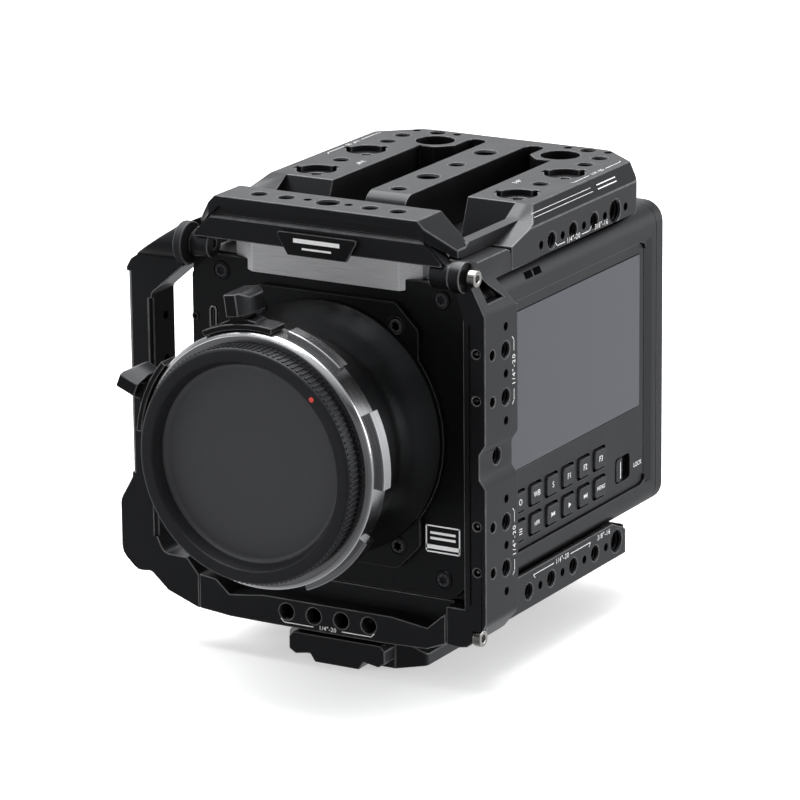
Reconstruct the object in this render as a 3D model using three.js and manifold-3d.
// Cinema camera in a full accessory cage: box body, lens mount with locking ring and cap,
// screen and key panel, cage brackets, top plate, base plate and quick-release foot.
// Millimetres, +Z up. The lens looks along -Y and the screen faces +X. The origin is the middle of
// the foot's lower face. Inside the rig group, x = z = 0 is the lens axis and y = 0 the body's front.
import * as THREE from 'three';
import { mergeVertices } from 'three/addons/utils/BufferGeometryUtils.js';
import Module from 'manifold-3d';

const wasm = await Module();
wasm.setup();

// ---- driving dimensions ----
const GAP = 0.3; // clearance between pieces that touch
const HOLE_SEGMENTS = 12;
const SMALL_SEGMENTS = 8; // for holes and pins under 2 mm in radius
const ROUND_SEGMENTS = 40;

const QUARTER_R = 3.0; // radius of a 1/4-20 hole
const THREE_EIGHTHS_R = 4.3; // radius of a 3/8-16 hole
const PIN_R = 1.6; // radius of a locating-pin hole
const PITCH = 8; // hole-to-hole distance on the cage

const BODY = { half: 57.9, top: 56.6, bottom: -57.6, rear: 141, corner: 7.5 };
const FRONT_PLATE_T = 2.7;
const BEZEL_T = 5;
const THROAT_R = 27;

const PANEL = { face: 56.9, back: 52.9, front: 21, rear: 127.5, bottom: -46.5, top: 44.5 };
const SCREEN = { front: 22.4, rear: 124, bottom: -16.6, top: 40.4 };
const KEY = { width: 8.2, height: 6.8, margin: 0.9, pitch: 12.2, first: 31.8, columns: 6, rows: [-28.8, -39.6] };
const LOCK = { y: 111.3, z: -37.5, width: 11.6, height: 9.6 };

const CAP = { front: -59.6, rear: -52.7, radius: 42, depth: 5.9 };
const RING = { front: -52.4, rear: -41.5, inner: 39.2, outer: 45.8, lug: 48 };

const LEVER = { front: -53, rear: -38, foot: 50.8, tip: 58.6, wide: 4.9, narrow: 2.3 };

const DECK = { bottom: 57, top: 74.5, side: 58.8, chamfer: 5.5, rear: 136 };
const ARM_X = 41; // middle of a side arm of the top plate
const BAR = { top: 80, lip: 76.4, under: 72.8, front: -9.9, rear: 7.2, flat: 40.5, end: 51.6 };
const MIDDLE_ARM = { half: 8.2, front: 38, fillet: 6 };
const KNUCKLE = { y: -4.6, z: 60.8, r: 4.9 };
const CORNER_SCREWS = { screw_upper: [59.6, -4.6, 60.8], screw_lower: [60.4, -3, -68.3] };

const UPRIGHT = { outer: 64, inner: 58.5, front: -5, rear: 18.5, waist: 61.6, pitch: 8.4 };
const BASE = { top: -58, bottom: -69, side: 58.8, rear: 110.3 };
const FOOT = { bottom: -89.4, top: -69.3, half: 28.7, front: 1, rear: 111 };

// ---- making solids ----
function solid(geometry) {
  geometry.deleteAttribute('normal');
  geometry.deleteAttribute('uv');
  const merged = mergeVertices(geometry, 1e-4);
  const corners = Array.from(merged.index.array);
  const triangles = [];
  for (let i = 0; i < corners.length; i += 3) {
    const [a, b, c] = corners.slice(i, i + 3);
    if (a !== b && b !== c && c !== a) triangles.push(a, b, c);
  }
  return new wasm.Manifold(new wasm.Mesh({
    numProp: 3,
    vertProperties: new Float32Array(merged.attributes.position.array),
    triVerts: new Uint32Array(triangles),
  }));
}

function joined(solids) {
  return solids.reduce((whole, piece) => whole.add(piece));
}

// A closed outline through corners [a, b, radius], each corner rounded by its own radius.
function outline(corners) {
  const shape = new THREE.Shape();
  corners.forEach(([a, b, radius = 0], i) => {
    const here = new THREE.Vector2(a, b);
    const back = new THREE.Vector2(...corners.at(i - 1).slice(0, 2)).sub(here).normalize();
    const ahead = new THREE.Vector2(...corners[(i + 1) % corners.length].slice(0, 2));
    ahead.sub(here).normalize();
    const half = Math.acos(THREE.MathUtils.clamp(back.dot(ahead), -1, 1)) / 2;
    const start = here.clone().addScaledVector(back, radius / Math.tan(half));
    if (i === 0) shape.moveTo(start.x, start.y);
    else shape.lineTo(start.x, start.y);
    if (radius === 0) return;
    const end = here.clone().addScaledVector(ahead, radius / Math.tan(half));
    const centre = back.clone().add(ahead).normalize().multiplyScalar(radius / Math.sin(half)).add(here);
    const from = start.sub(centre).angle();
    const to = end.sub(centre).angle();
    shape.absarc(centre.x, centre.y, radius, from, to, back.cross(ahead) > 0);
  });
  return shape;
}

function rectangle(a0, a1, b0, b1, radius = 0) {
  return outline([[a0, b0, radius], [a1, b0, radius], [a1, b1, radius], [a0, b1, radius]]);
}

// A prism along an axis between two stations. The outline lies in (y, z), (x, z) or (x, y).
function prism(axis, shape, from, to, curveSegments = 1) {
  const geometry = new THREE.ExtrudeGeometry(shape, {
    depth: to - from, bevelEnabled: false, curveSegments,
  });
  const turn = new THREE.Matrix4();
  if (axis === 'x') turn.set(0, 0, 1, from, 1, 0, 0, 0, 0, 1, 0, 0, 0, 0, 0, 1);
  if (axis === 'y') turn.set(1, 0, 0, 0, 0, 0, -1, to, 0, 1, 0, 0, 0, 0, 0, 1);
  if (axis === 'z') turn.makeTranslation(0, 0, from);
  return solid(geometry.applyMatrix4(turn));
}

function block(x0, x1, y0, y1, z0, z1) {
  const geometry = new THREE.BoxGeometry(x1 - x0, y1 - y0, z1 - z0);
  return solid(geometry.translate((x0 + x1) / 2, (y0 + y1) / 2, (z0 + z1) / 2));
}

// A round bar along an axis; at holds its middle and length its full length.
function rod(axis, radius, at, length, segments = radius < 2 ? SMALL_SEGMENTS : HOLE_SEGMENTS) {
  const geometry = new THREE.CylinderGeometry(radius, radius, length, segments);
  if (axis === 'x') geometry.rotateZ(Math.PI / 2);
  if (axis === 'z') geometry.rotateX(Math.PI / 2);
  return solid(geometry.translate(...at));
}

// A body of revolution about the lens axis from a closed (radius, y) profile.
function revolved(profile, segments = ROUND_SEGMENTS) {
  const points = [...profile, profile[0]].map(([r, y]) => new THREE.Vector2(r, y));
  return solid(new THREE.LatheGeometry(points, segments));
}

function mirrored(make) {
  return joined([make(1), make(-1)]);
}

// ---- camera body ----
function bodyOutline(inset = 0) {
  const { half, top, bottom, corner } = BODY;
  return rectangle(-half + inset, half - inset, bottom + inset, top - inset, corner - inset);
}

function panelOutline(grow) {
  const { front, rear, bottom, top } = PANEL;
  return outline([
    [front - grow, bottom - grow, 2],
    [rear + grow, bottom - grow, 4],
    [rear + grow, top + grow, 4],
    [front - grow, top + grow, 2],
  ]);
}

const SIDE_DOOR = { front: 34, rear: 92, bottom: -34, top: 40 };
const PORTS = { front: 96, rear: 132, bottom: -44, top: 44 };
const BAY = { half: 22, bottom: -38, top: 36, floor: 122 };

function bodyShell() {
  const shell = prism('y', bodyOutline(), FRONT_PLATE_T + GAP, BODY.rear - BEZEL_T - GAP, 3);
  const throat = rod('y', THROAT_R + 1, [0, 6, 0], 14, 32);
  const panelBay = prism('x', panelOutline(GAP), PANEL.back - GAP, BODY.half + 1);
  const door = rectangle(SIDE_DOOR.front, SIDE_DOOR.rear, SIDE_DOOR.bottom, SIDE_DOOR.top, 2);
  const doorBay = prism('x', door, -BODY.half - 1, -53.8);
  const ports = rectangle(PORTS.front, PORTS.rear, PORTS.bottom, PORTS.top, 2);
  const portBay = prism('x', ports, -BODY.half - 1, -54.4);
  const cardSlots = mirrored((side) => block(-55, -40, 61 + side * 9 - 3, 61 + side * 9 + 3, -18, 22));
  const battery = prism('y', rectangle(-BAY.half, BAY.half, BAY.bottom, BAY.top, 3), BAY.floor, 140);
  const slope = outline([[PANEL.face, PANEL.rear], [58.2, 133.9], [58.2, PANEL.rear]]);
  const ramp = prism('z', slope, PANEL.bottom - GAP, PANEL.top + GAP);
  const topPins = joined([38, 45].map((y) => rod('z', 1.5, [52.6, y, 56], 6, 10)));
  const bays = [throat, panelBay, ramp, doorBay, portBay, cardSlots, battery, topPins];
  return shell.subtract(joined(bays));
}

// The flat front of the body, its corners cut back round the outer screws.
function frontPanel() {
  const { top, bottom } = BODY;
  const [x, cutX, cutZ] = [56.5, 48, 48.5];
  const shape = outline([
    [-cutX, bottom + 0.6, 2], [cutX, bottom + 0.6, 2], [x, -cutZ, 2], [x, cutZ, 2],
    [cutX, top - 0.6, 2], [-cutX, top - 0.6, 2], [-x, cutZ, 2], [-x, -cutZ, 2],
  ]);
  const socket = prism('y', rectangle(-49.9, -46, 27.6, 37.6, 1.9), -1, 2.1);
  return prism('y', shape, 0, FRONT_PLATE_T)
    .subtract(rod('y', THROAT_R + 1, [0, 1, 0], 8, 32))
    .subtract(socket);
}

function usbSocket() {
  const shell = prism('y', rectangle(-49.5, -46.4, 28, 37.2, 1.5), -0.2, 1.8);
  return shell.subtract(prism('y', rectangle(-48.8, -47.1, 28.7, 36.5, 0.8), -1, 1.4));
}

// The satin strip along the top of the front, wider above than below.
function headerStrip() {
  const corners = [[-46, 56], [-46, 55.4], [-30, 51.6], [28, 51.6], [46, 55.4], [46, 56]];
  return prism('y', outline(corners), -1, -GAP);
}

// A tall plate with cut corners joined to the disc behind the mount.
function lensPlate() {
  const [x, z, cut] = [36.4, 48, 9];
  const tall = outline([
    [-x + cut, -z, 2], [x - cut, -z, 2], [x, -z + cut, 2], [x, z - cut, 2],
    [x - cut, z, 2], [-x + cut, z, 2], [-x, z - cut, 2], [-x, -z + cut, 2],
  ]);
  const disc = rod('y', 46.3, [0, -1.45, 0], 2.3, ROUND_SEGMENTS);
  const throat = rod('y', THROAT_R + 1, [0, -1, 0], 8, 32);
  return prism('y', tall, -2.6, -GAP).add(disc).subtract(throat);
}

// ---- lens mount ----
function mountBarrel() {
  const { inner } = RING;
  return revolved([
    [THROAT_R, -48.6], [inner - 0.5, -48.6], [inner - 0.5, -41.2], [40.2, -41.2], [40.2, -25],
    [38.8, -24.4], [38.8, -21], [40.4, -14], [44, -7], [45.8, -4.4], [45.8, -2.9],
    [THROAT_R, -2.9],
  ]);
}

function mountFlange() {
  const flange = revolved([
    [THROAT_R, -52.2], [37.6, -52.2], [38.5, -51.4], [38.5, -48.9], [THROAT_R, -48.9],
  ]);
  const screws = [45, 135, 225, 315].map((degrees) => (
    rod('y', 2.1, [33, -52, 0], 3).rotate([0, degrees, 0])
  ));
  return flange.subtract(joined(screws));
}

// A ring sector between two radii; angles in degrees, counted from +X towards +Z.
function sector(inner, outer, fromDeg, toDeg, front, rear) {
  const shape = new THREE.Shape();
  const from = THREE.MathUtils.degToRad(fromDeg);
  const to = THREE.MathUtils.degToRad(toDeg);
  shape.absarc(0, 0, outer, from, to, false);
  shape.absarc(0, 0, inner, to, from, true);
  shape.closePath();
  return prism('y', shape, front, rear, Math.ceil((toDeg - fromDeg) / 12));
}

const LUGS = [[-6, 27], [49, 76], [178, 213], [291, 329]];

// The steel ring that turns to clamp a lens, with raised lugs on its outside.
function lockingRing() {
  const { front, rear, inner, outer, lug } = RING;
  const ring = revolved([
    [inner, front], [outer - 1.8, front], [outer - 0.2, front + 1.4], [outer, front + 2.4],
    [outer, rear], [inner, rear],
  ]);
  return joined([ring, ...LUGS.map(([a, b]) => sector(outer - 1, lug, a, b, -47.4, rear - 0.4))]);
}

// A black grip on the ring: a base curved to it, a short neck, and a head that is narrow at the
// front, widens backwards and has its outer edges cut off.
function lockLever(degrees) {
  const base = sector(RING.outer + GAP, RING.lug + 0.2, -17, 17, LEVER.front + 1.4, -42.4);
  const neck = outline([
    [46.2, -8.6], [48.4, -6.6, 1], [49.4, -2.4, 1], [52, -2.4], [52, 2.4], [49.4, 2.4, 1],
    [48.4, 6.6, 1], [46.2, 8.6],
  ]);
  const { front, rear, foot, tip, wide, narrow } = LEVER;
  const plan = outline([
    [front, -narrow], [front + 5.5, -wide], [rear, -wide, 1.5], [rear, wide, 1.5],
    [front + 5.5, wide], [front, narrow],
  ]);
  const section = outline([
    [foot, -wide], [tip - 2, -wide], [tip, -wide + 2], [tip, wide - 2], [tip - 2, wide], [foot, wide],
  ]);
  const head = prism('x', plan, foot, tip).intersect(prism('y', section, front, rear));
  return joined([base, prism('y', neck, front + 3.1, -42.4), head]).rotate([0, -degrees, 0]);
}

// The cap: a knurled grip round a dished face, with a spigot that goes into the throat.
function lensCap() {
  const { front, rear, radius, depth } = CAP;
  const floor = front + depth;
  const body = revolved([
    [0, floor], [33.8, floor], [34.8, floor - 0.6], [36.8, front + 0.4], [37.1, front],
    [40.6, front], [41.6, front + 0.9], [radius, front + 1.6], [radius, rear],
    [26.6, rear], [26.6, -44], [24, -44], [24, rear], [0, rear],
  ], 44);
  const finger = sector(26, 28.6, -9, 9, -46.2, -44);
  return body.subtract(finger.translate([0, 20, 0]));
}

function sensorWindow() {
  return prism('y', rectangle(-23, 23, -15, 15, 2), 8, 10.4).add(rod('y', 26, [0, 11.6, 0], 2.4, 32));
}

// ---- screen side ----
function keyWell(y, z) {
  const [w, h] = [KEY.width / 2 + KEY.margin, KEY.height / 2 + KEY.margin];
  return prism('x', rectangle(y - w, y + w, z - h, z + h, 1.3), 53.5, 60);
}

function keyPlaces() {
  return KEY.rows.flatMap((z, row) => Array.from({ length: KEY.columns }, (_, column) => (
    { name: `key_${'ab'[row]}${column + 1}`, y: KEY.first + column * KEY.pitch, z }
  )));
}

function sidePanel() {
  const { front, rear, bottom, top } = SCREEN;
  const screenBay = prism('x', rectangle(front - GAP, rear + GAP, bottom - GAP, top + GAP, 1), 55.2, 60);
  const [w, h] = [LOCK.width / 2, LOCK.height / 2];
  const slot = rectangle(LOCK.y - w, LOCK.y + w, LOCK.z - h, LOCK.z + h, 1.6);
  const lockBay = prism('x', slot, 54.4, 60);
  const wells = keyPlaces().map(({ y, z }) => keyWell(y, z));
  return prism('x', panelOutline(0), PANEL.back, PANEL.face)
    .subtract(joined([screenBay, lockBay, ...wells]));
}

function screenGlass() {
  return prism('x', rectangle(SCREEN.front, SCREEN.rear, SCREEN.bottom, SCREEN.top, 0.8), 55.5, 57.1);
}

function keyCap({ y, z }) {
  const [w, h] = [KEY.width / 2, KEY.height / 2];
  return prism('x', rectangle(y - w, y + w, z - h, z + h, 1), 54.5, 57.7);
}

function lockSwitch() {
  const start = LOCK.y - LOCK.width / 2 + 0.6;
  const slider = prism('x', rectangle(start, start + 5.8, LOCK.z - 4.2, LOCK.z + 4.2, 0.8), 54.7, 57.2);
  return slider.subtract(block(56.5, 58, start + 3.6, start + 6, LOCK.z - 5, LOCK.z + 5));
}

// ---- rear and left side ----
function rearBezel() {
  const bay = prism('y', rectangle(-BAY.half, BAY.half, BAY.bottom, BAY.top, 3), 130, 145);
  const rim = prism('y', bodyOutline(), BODY.rear - BEZEL_T, BODY.rear, 3);
  const step = rectangle(-BAY.half - 4, BAY.half + 4, BAY.bottom - 4, BAY.top + 4, 4);
  const latchSlot = rectangle(27.4, 35.4, -12, 12, 2);
  return rim.subtract(joined([
    bay,
    prism('y', step, BODY.rear - 1.2, BODY.rear + 1),
    prism('y', latchSlot, BODY.rear - 3.2, BODY.rear + 1),
  ]));
}

// The plate that a battery pack slides down on, with its guide rails.
function batteryPlate() {
  const plate = block(-20.5, 20.5, BAY.floor + GAP, BAY.floor + 3, BAY.bottom + 1.5, BAY.top - 1.5);
  const rail = (side) => {
    const [a, b] = [side * 20.5, side * 15];
    return block(Math.min(a, b), Math.max(a, b), BAY.floor + 2, BAY.floor + 8, -30, 28)
      .subtract(block(side > 0 ? 10 : -18, side > 0 ? 18 : -10, 126, 128.4, -40, 40));
  };
  return plate.add(mirrored(rail));
}

function batteryContacts() {
  const housing = block(-9, 9, BAY.floor + 3.3, BAY.floor + 8, -34.5, -25);
  const blades = [-6, -2, 2, 6].map((x) => block(x - 0.6, x + 0.6, 120, 140, -30, -20));
  return housing.subtract(joined(blades));
}

function batteryLatch() {
  const face = BODY.rear - 2.9;
  const button = prism('y', rectangle(27.9, 34.9, -8, 5, 1.6), face, BODY.rear + 0.6);
  const ribs = [-5, -3, -1, 1].map((z) => block(26, 36, BODY.rear, BODY.rear + 2, z, z + 0.9));
  return button.subtract(joined(ribs));
}

function mediaDoor() {
  const { front, rear, bottom, top } = SIDE_DOOR;
  const leaf = prism('x', rectangle(front + 4.4, rear - GAP, bottom + GAP, top - GAP, 1.6), -57.6, -55);
  const grip = prism('x', rectangle(rear - 9, rear - 4, -8, 14, 2), -60, -56.7);
  const knuckles = [-20, 3, 26].map((z) => rod('z', 1.5, [-56.3, front + 3, z], 12, 12));
  const webs = [-20, 3, 26].map((z) => block(-57.2, -55.4, front + 3, front + 6, z - 6, z + 6));
  return leaf.subtract(grip).add(joined([...knuckles, ...webs]));
}

function portPanel() {
  const { front, rear, bottom, top } = PORTS;
  const plate = rectangle(front + GAP, rear - GAP, bottom + GAP, top - GAP, 1.8);
  const bores = PORT_LIST.map(({ kind, y, z }) => PORT_KINDS[kind].bore(y, z));
  return prism('x', plate, -57.4, -54.7).subtract(joined(bores));
}

// A socket is a ring or a frame set into the port panel with an open mouth.
function roundSocket(y, z, outer, inner, reach) {
  const ring = rod('x', outer, [-55 - reach / 2, y, z], reach, 20);
  return ring.subtract(rod('x', inner, [-55 - reach / 2 - 1, y, z], reach, 16));
}

function squareSocket(y, z, w, h, wall) {
  const frame = block(-57.6, -55, y - w / 2, y + w / 2, z - h / 2, z + h / 2);
  return frame.subtract(block(-60, -55.8, y - w / 2 + wall, y + w / 2 - wall,
    z - h / 2 + wall, z + h / 2 - wall));
}

const PORT_KINDS = {
  coax: {
    bore: (y, z) => rod('x', 5.1, [-56, y, z], 8, 20),
    make: (y, z) => roundSocket(y, z, 4.8, 3.6, 7).add(rod('x', 1, [-57, y, z], 5, 8)),
  },
  power: {
    bore: (y, z) => rod('x', 6.6, [-56, y, z], 8, 20),
    make: (y, z) => roundSocket(y, z, 6.3, 5, 4),
  },
  audio: {
    bore: (y, z) => rod('x', 5.6, [-56, y, z], 8, 20),
    make: (y, z) => roundSocket(y, z, 5.3, 4.2, 3.4),
  },
  data: {
    bore: (y, z) => block(-60, -50, y - 8.2, y + 8.2, z - 7.2, z + 7.2),
    make: (y, z) => squareSocket(y, z, 15.8, 13.8, 1.2),
  },
};

const PORT_LIST = [
  { name: 'video_out_upper', kind: 'coax', y: 105, z: 34 },
  { name: 'video_out_lower', kind: 'coax', y: 121, z: 34 },
  { name: 'network_socket', kind: 'data', y: 113, z: 15 },
  { name: 'audio_input', kind: 'audio', y: 105, z: -6 },
  { name: 'headphone_output', kind: 'audio', y: 121, z: -6 },
  { name: 'power_socket', kind: 'power', y: 113, z: -28 },
];

// ---- cage: top plate ----
function deckHole(x, y, radius, z = 70) {
  return rod('z', radius, [x, y, z], 40);
}

// A round pocket with three notches and a threaded hole in its floor, for a locating accessory.
function rosette(x, y, radius) {
  const pocket = rod('z', 7.4, [x, y, DECK.top], 4.4, 18);
  const notches = [90, 210, 330].map((degrees) => (
    block(-1.6, 1.6, 5, 9, -2.2, 2.2).rotate([0, 0, degrees]).translate([x, y, DECK.top])
  ));
  return joined([pocket, ...notches, deckHole(x, y, radius)]);
}

function deckBlank() {
  const { bottom, top, side, chamfer, rear } = DECK;
  const section = outline([
    [-side, bottom], [side, bottom], [side, top - chamfer], [side - chamfer, top],
    [-side + chamfer, top], [-side, top - chamfer],
  ]);
  const plan = outline([
    [-side, 24], [side, 24], [side, rear - 17, 4], [39, rear, 4], [-39, rear, 4], [-side, rear - 17, 4],
  ]);
  return prism('y', section, 20, rear).intersect(prism('z', plan, bottom, top));
}

// What is cut from the blank's front: the side arms fall away down to the side rails, while the
// middle arm ends in an upright face with a rounded top edge.
function deckFrontCut() {
  const { half, front, fillet } = MIDDLE_ARM;
  const fall = outline([[0, 80], [52, 80], [49.2, 74.5], [45.6, 65.4], [40.8, 50], [0, 50]]);
  const outer = outline([[0, 80], [49.2, 80], [49.2, 74.5], [41.5, 70.1], [24, 65.4], [0, 65.4]]);
  const end = outline([[0, 50], [front, 50], [front, DECK.top, fillet], [60, DECK.top], [60, 80], [0, 80]]);
  const arms = [prism('x', fall, half, 46.6), prism('x', outer, half, 62)];
  return joined([...arms, ...arms.map((cut) => cut.mirror([1, 0, 0])), prism('x', end, -half, half, 4)]);
}

function deckSlot(side) {
  const corners = [
    [MIDDLE_ARM.half, 36], [MIDDLE_ARM.half, 130, 3.6], [15.6, 130, 3], [15.6, 117, 2], [21, 111.4, 3], [27.4, 111.4, 1], [27.4, 36],
  ];
  const shape = outline(corners.map(([x, y, r]) => [side * x, y, r]));
  return prism('z', shape, 50, 80);
}

function deckHoles() {
  const cuts = [48.5, 90.5].map((y) => deckHole(0, y, QUARTER_R));
  cuts.push(...[69.5, 111.9].map((y) => deckHole(0, y, THREE_EIGHTHS_R)));
  for (const side of [1, -1]) {
    const x = side * ARM_X;
    cuts.push(rosette(x, 60.7, THREE_EIGHTHS_R), rosette(x, 96.2, QUARTER_R));
    cuts.push(...[78, 112, 123.2].map((y) => deckHole(x, y, QUARTER_R)));
    cuts.push(deckHole(side * 40, 132, PIN_R), deckHole(side * 23.2, 132.5, PIN_R));
    cuts.push(deckHole(side * 31.4, 132.5, QUARTER_R));
    cuts.push(rod('z', 7.3, [side * 26, 121.1, 70], 40, 18));
  }
  return cuts;
}

// The row of holes in the side wall: pin holes and 1/4 holes in turn, then one 3/8 hole.
function sideHoles(side) {
  return Array.from({ length: 9 }, (_, i) => {
    const radius = i === 7 ? THREE_EIGHTHS_R : [PIN_R, QUARTER_R][i % 2];
    return rod('x', radius, [side * 56, 45.3 + i * PITCH, 61.4], 8);
  });
}

// The raised bar across the front, sloping down at both ends and bent back there in plan. Under
// its front lip runs the gap that the crossbar stands in.
function deckBar() {
  const { top, lip, under, front, rear, flat, end } = BAR;
  const section = outline([
    [-end, 66], [-50.2, 66.8], [-43.2, under], [43.2, under], [50.2, 66.8], [end, 66],
    [end, top - (end - flat)], [flat, top], [-flat, top], [-end, top - (end - flat)],
  ]);
  const plan = outline([[-43, front], [43, front], [end, -1.3], [end, rear], [-end, rear], [-end, -1.3]]);
  const gap = outline([[-52.2, lip - 13.2], [52.2, lip - 13.2], [39, lip], [-39, lip]]);
  return prism('y', section, -12, rear)
    .intersect(prism('z', plan, 60, 82))
    .subtract(prism('y', gap, -20, -2.5));
}

function deckBarHoles() {
  const y = -0.6;
  const cuts = [rod('z', THREE_EIGHTHS_R, [0, y, 76], 20)];
  for (const side of [1, -1]) {
    cuts.push(rod('z', PIN_R, [side * 8.2, y, 76], 20));
    cuts.push(...[16.8, 27.8].map((x) => rod('z', QUARTER_R, [side * x, y, 76], 20)));
  }
  return cuts;
}

function deckRail(side) {
  const [a, b] = [side * 46.9, side * BAR.end];
  const wall = outline([[0.6, DECK.bottom + 1.6], [0.6, 66.2], [6, 70.3], [50, 70.3], [50, DECK.bottom + 1.6]]);
  return prism('x', wall, Math.min(a, b), Math.max(a, b));
}

function topPlate() {
  const main = deckBlank().subtract(joined([deckFrontCut(), mirrored(deckSlot)]));
  const frame = joined([main, mirrored(deckRail), deckBar()]);
  const cuts = [...deckHoles(), ...deckBarHoles(), ...sideHoles(1), ...sideHoles(-1)];
  return frame.subtract(joined(cuts));
}

// ---- cage: front crossbar ----
function crossbar() {
  const section = outline([[-9.5, 64.4], [-9.5, 72.2], [-8.7, 73], [-3, 73], [-3, 64.4]]);
  const ends = outline([
    [-49.5, 64], [49.5, 64], [49.5, 65.4], [41.9, 73], [-41.9, 73], [-49.5, 65.4],
  ]);
  const beam = prism('x', section, -50, 50).intersect(prism('y', ends, -12, 0));
  const { y, z, r } = KNUCKLE;
  const knuckle = (side) => rod('x', r, [side * 48, y, z], 7.6, 24)
    .add(block(side > 0 ? 44.2 : -51.8, side > 0 ? 51.8 : -44.2, y, y + 3, z, 66));
  const socket = rod('x', 1.9, [43.5, y, z], 3, 6).add(rod('x', 1.9, [-43.5, y, z], 3, 6));
  return beam.add(mirrored(knuckle)).subtract(socket);
}

function namePlate() {
  const shape = outline([[-15.4, 70.6, 1], [-10.4, 62.4, 0.6], [13, 62.4, 0.6], [18, 70.6, 1]].reverse());
  return prism('y', shape, -11.2, -9.8);
}

function collar() {
  const disc = rod('x', 7.6, [-54.2, KNUCKLE.y - 1.6, KNUCKLE.z], 3.4, 24);
  return disc.subtract(block(-60, -50, -GAP, 10, 40, 57.2));
}

// ---- cage: side brackets ----
function uprightHoles() {
  const { pitch } = UPRIGHT;
  const cuts = [rod('x', QUARTER_R, [62, 7.5, -4.9], 12)];
  for (const start of [41.2, -20.6]) {
    for (let i = 0; i < 5; i += 1) {
      cuts.push(rod('x', [PIN_R, QUARTER_R][i % 2], [62, 9.8, start - i * pitch], 12));
    }
  }
  for (const z of [33, 16.4, -28.6, -45.2]) {
    cuts.push(rod('x', 1.9, [62, 0.4, z], 12), rod('y', 1.5, [60.4, 0, z + 1.2], 12, 10));
  }
  return cuts;
}

// The right bracket stands at the front corner of the screen side and reaches up and back to the
// top plate with a pad, and down round the corner to the base plate.
function rightBracket() {
  const { outer, inner, front, rear, waist } = UPRIGHT;
  const plan = outline([
    [55.3, front], [outer - 1.4, front], [outer, 0.6], [outer, rear], [inner, rear],
    [inner, -GAP], [55.3, -GAP],
  ]);
  const face = outline([
    [48.1, -72], [56.5, -72.6, 6], [outer, -63, 4], [outer, 47.6], [58.8, 57], [58.8, 65.5],
    [52, 65.5], [52, 57], [55.3, 46], [55.3, -58], [48.1, -58],
  ]);
  const side = outline([
    [front, -76], [rear, -76], [rear, 44.6], [16.4, 49.7], [12.6, 57], [23.5, 57, 0.5],
    [23.5, 65.5, 3], [-0.6, 65.5], [front, 60],
  ]);
  const upright = prism('z', plan, -58, 47.6);
  const body = prism('y', face, front - 1, 24).intersect(prism('x', side, 40, 66));
  const bodyRoom = block(0, inner, -GAP, 30, BASE.top + 0.1, BODY.top + GAP);
  const deckRoom = block(0, 51.9, 0, 30, 50, 90);
  const recess = outline([[waist, -10.5], [waist, -1.6], [outer + 2, 5], [outer + 2, -16.4]]);
  const groove = block(57.6, 58.4, front - 1, front + 0.5, -56, 44);
  const boss = rod('x', 5.6, [54.3, KNUCKLE.y, KNUCKLE.z], 4.6, 24);
  const sockets = Object.values(CORNER_SCREWS).map(([x, y, z]) => rod('x', 3.5, [x + 3.2, y, z], 10, 16));
  const notch = prism('x', outline([[0.5, 61], [0.5, 51], [12, 51]]), 56, 66);
  return upright.add(body).add(boss)
    .subtract(joined([bodyRoom, deckRoom, prism('y', recess, front - 1, rear + 1), groove, notch]))
    .subtract(joined([...sockets, ...uprightHoles()]));
}

// The left bracket stands clear of the body, so a hand or a cable passes behind it.
function leftBracket() {
  const frame = outline([
    [-56.4, 67], [-79.1, 51.5], [-80.8, 48.6, 1.5], [-80.4, -29, 3], [-85.6, -38, 5],
    [-85.6, -58, 6], [-79, -64, 4], [-73.3, -63.4, 2], [-66.3, -69.6, 2], [-53.2, -74.4],
    [-53.2, -61.8], [-58, -56], [-67.6, -55.6, 3], [-70.4, -50, 2], [-70.4, 40, 2], [-57.6, 51],
    [-56.4, 54],
  ].reverse());
  const arm = prism('y', frame, -5, 10);
  const bodyRoom = block(-BODY.half - GAP, 0, -GAP, 20, BASE.top - 0.1, BODY.top + GAP);
  const underArm = outline([[-56.4, 67], [-79.1, 51.5], [-79.1, 40], [-56.4, 40]]);
  const boss = rod('x', 7, [-65.7, KNUCKLE.y, KNUCKLE.z], 18.6, 24).intersect(prism('y', underArm, -14, 12));
  const innerEdge = prism('z', outline([[-74.9, -8], [-68, -8], [-68, -1.1]]), -50, 38);
  const outerEdge = prism('z', outline([[-84.1, 0], [-84.1, -8], [-76.1, -8]]), -27, 47);
  const holes = [30, 14, -2, -18].map((z) => rod('x', PIN_R, [-76, 4, z], 14));
  return arm.add(boss).subtract(joined([bodyRoom, innerEdge, outerEdge, ...holes]));
}

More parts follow.
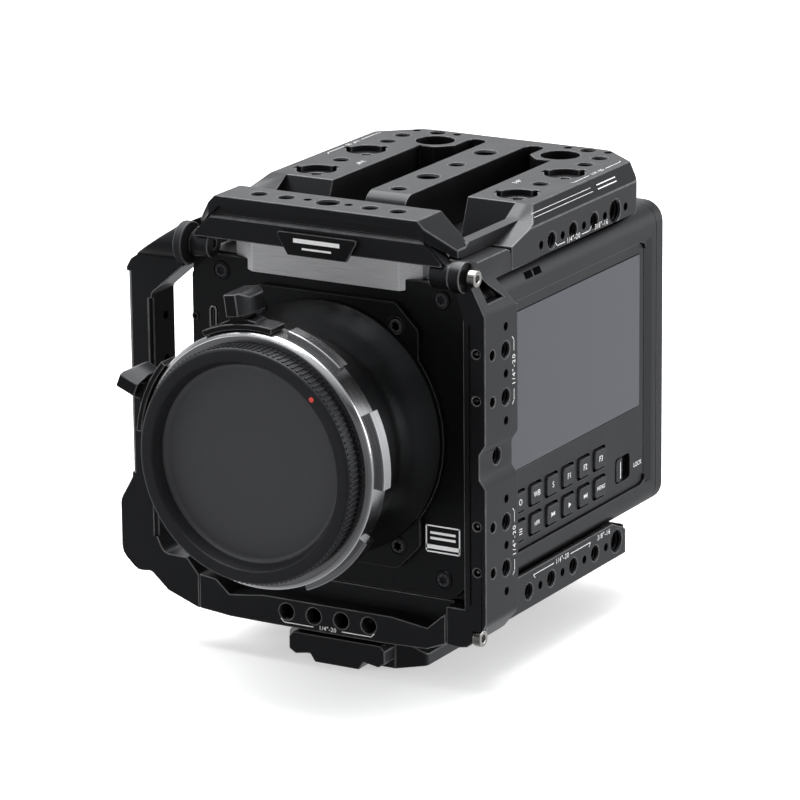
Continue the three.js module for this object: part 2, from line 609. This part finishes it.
// ---- cage: base ----
function basePlate() {
  const { top, bottom, side, rear } = BASE;
  const front = outline([
    [-52.9, -74.2], [-40, -75.4], [-22, -75.6], [22, -75.6], [40, -75], [47.7, -72],
    [47.7, -61], [46, -62.2], [40.4, -67.1], [26, -65.2], [-26, -65.2], [-40.4, -67.1],
    [-46, -62.2], [-52.9, -61.4],
  ]);
  const nose = prism('y', front, -5, 6);
  const plan = outline([
    [-side, 19, 1], [-47, 19], [-47, 2], [47.4, 2], [47.4, 19], [side, 19, 1], [side, rear, 2],
    [44, rear], [38, 100, 3], [-38, 100, 3], [-44, rear], [-side, rear, 2],
  ]);
  const slab = prism('z', plan, bottom, top);
  const rail = (hand) => {
    const section = outline([
      [hand * 50, bottom], [hand * side, bottom], [hand * side, -55.2], [hand * 57.3, -55.2],
      [hand * 54.2, top], [hand * 50, top],
    ]);
    const end = prism('x', outline([[19, -72], [rear, -72], [rear, -59.7], [99.6, -55], [19, -55]]), -60, 60);
    return prism('y', section, 19, rear).intersect(end);
  };
  const windows = mirrored((hand) => block(hand > 0 ? 32 : -46, hand > 0 ? 46 : -32, 30, 84, -80, -50));
  const frontHoles = [-16.8, -5.6, 5.6, 16.8].map((x) => rod('y', QUARTER_R, [x, 0, -70], 14));
  const railHoles = (hand) => joined(Array.from({ length: 9 }, (_, i) => {
    const radius = i === 8 ? THREE_EIGHTHS_R : [QUARTER_R, PIN_R][i % 2];
    return rod('x', radius, [hand * 56, 35.8 + i * 8.4, -62.6], 9);
  }));
  return joined([nose, slab, mirrored(rail)])
    .subtract(joined([windows, ...frontHoles, mirrored(railHoles)]));
}

// The quick-release foot: a wide dovetail that slides into a tripod plate, with a shaped nose.
function quickFoot() {
  const { bottom, top, half, front, rear } = FOOT;
  const section = outline([
    [-half, bottom], [half, bottom], [half, bottom + 4.4], [half - 5.4, bottom + 9.2],
    [20, bottom + 9.2], [20, top], [-20, top], [-20, bottom + 9.2], [-half + 5.4, bottom + 9.2],
    [-half, bottom + 4.4],
  ]);
  const nose = outline([
    [-9, bottom], [9, bottom], [11, bottom + 3], [17, bottom + 2], [19.6, bottom + 3.6],
    [19.6, bottom + 8.2], [18, bottom + 10.2], [-18, bottom + 10.2], [-19.6, bottom + 8.2],
    [-19.6, bottom + 3.6], [-17, bottom + 2], [-11, bottom + 3],
  ]);
  const plan = outline([[-half, 16, 3], [-20, 8], [20, 8], [half, 16, 3], [half, rear, 4], [-half, rear, 4]]);
  const main = prism('y', section, 6, rear).intersect(prism('z', plan, bottom - 1, top + 1));
  const bores = [36, 76].map((y) => rod('z', THREE_EIGHTHS_R, [0, y, -80], 30, 16));
  return main.add(prism('y', nose, front, 12)).subtract(joined(bores));
}

// A socket-head screw; at holds the middle of its head.
function cornerScrew([x, y, z]) {
  return rod('x', 3, [x, y, z], 3, 20).subtract(rod('x', 1.5, [x + 1.6, y, z], 3, 6));
}

// ---- colours ----
const FINISH = {
  shell: [0x1b1c1e, 0.55, 0.1],
  anodised: [0x1d1e20, 0.42, 0.7],
  satin: [0x2a2b2e, 0.35, 0.8],
  cap: [0x3b3c3f, 0.7, 0],
  steel: [0xb8babd, 0.28, 1],
  nickel: [0xc9c9c6, 0.25, 1],
  glass: [0x24262a, 0.12, 0],
  rubber: [0x0c0c0d, 0.8, 0],
};

const rig = new THREE.Group();

function add(name, piece, finish) {
  const { vertProperties, triVerts } = piece.getMesh();
  const geometry = new THREE.BufferGeometry();
  geometry.setAttribute('position', new THREE.BufferAttribute(vertProperties, 3));
  geometry.setIndex(new THREE.BufferAttribute(triVerts, 1));
  geometry.computeVertexNormals();
  const [color, roughness, metalness] = FINISH[finish];
  const mesh = new THREE.Mesh(geometry, new THREE.MeshStandardMaterial({ color, roughness, metalness }));
  mesh.name = name;
  rig.add(mesh);
}

add('body_shell', bodyShell(), 'shell');
add('front_panel', frontPanel(), 'shell');
add('usb_socket', usbSocket(), 'nickel');
add('header_strip', headerStrip(), 'satin');
add('lens_plate', lensPlate(), 'shell');
add('sensor_window', sensorWindow(), 'glass');
add('mount_barrel', mountBarrel(), 'anodised');
add('mount_flange', mountFlange(), 'steel');
add('locking_ring', lockingRing(), 'steel');
add('lever_upper', lockLever(98.3), 'satin');
add('lever_left', lockLever(157.7), 'satin');
add('lens_cap', lensCap(), 'cap');
add('side_panel', sidePanel(), 'shell');
add('screen_glass', screenGlass(), 'glass');
for (const place of keyPlaces()) add(place.name, keyCap(place), 'shell');
add('lock_switch', lockSwitch(), 'rubber');
add('rear_bezel', rearBezel(), 'shell');
add('battery_plate', batteryPlate(), 'shell');
add('battery_contacts', batteryContacts(), 'rubber');
add('battery_latch', batteryLatch(), 'satin');
add('media_door', mediaDoor(), 'shell');
add('port_panel', portPanel(), 'shell');
for (const { name, kind, y, z } of PORT_LIST) add(name, PORT_KINDS[kind].make(y, z), 'nickel');
add('top_plate', topPlate(), 'anodised');
add('crossbar', crossbar(), 'anodised');
add('name_plate', namePlate(), 'satin');
add('collar', collar(), 'rubber');
add('right_bracket', rightBracket(), 'anodised');
add('left_bracket', leftBracket(), 'anodised');
add('base_plate', basePlate(), 'anodised');
add('quick_foot', quickFoot(), 'anodised');
for (const [name, at] of Object.entries(CORNER_SCREWS)) add(name, cornerScrew(at), 'nickel');

const camera = new THREE.Group();
rig.position.set(0, -(FOOT.front + FOOT.rear) / 2, -FOOT.bottom);
camera.add(rig);

export default camera;
